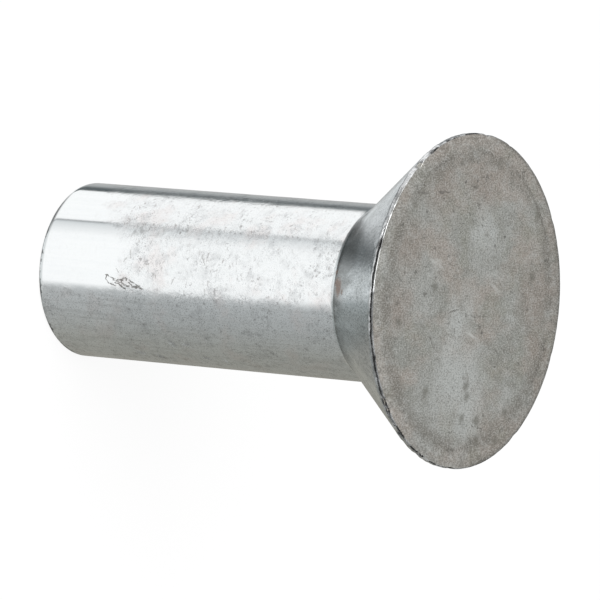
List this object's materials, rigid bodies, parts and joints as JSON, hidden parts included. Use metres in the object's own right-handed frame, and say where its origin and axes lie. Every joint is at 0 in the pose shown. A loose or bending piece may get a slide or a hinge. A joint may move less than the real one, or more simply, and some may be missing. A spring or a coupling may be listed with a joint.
{
  "type": "solid rivet",
  "caption": "Solid rivet: a plain round shank with a flat cut tail that widens through a short cone to a flat countersunk head, set flush in a countersunk hole.",
  "frame": {"origin": "centre of the cut tail end, on the surface the rivet stands on", "axes": "+Z along the shank from the tail end to the flat head face; X and Y are free, because the rivet is round"},
  "size_m": [0.0178, 0.0178, 0.025],
  "materials": {
    "steel": "bright, fine worn grain, matte head face"
  },
  "bodies": {
    "root": {"rivet": "steel"}
  },
  "joints": []
}
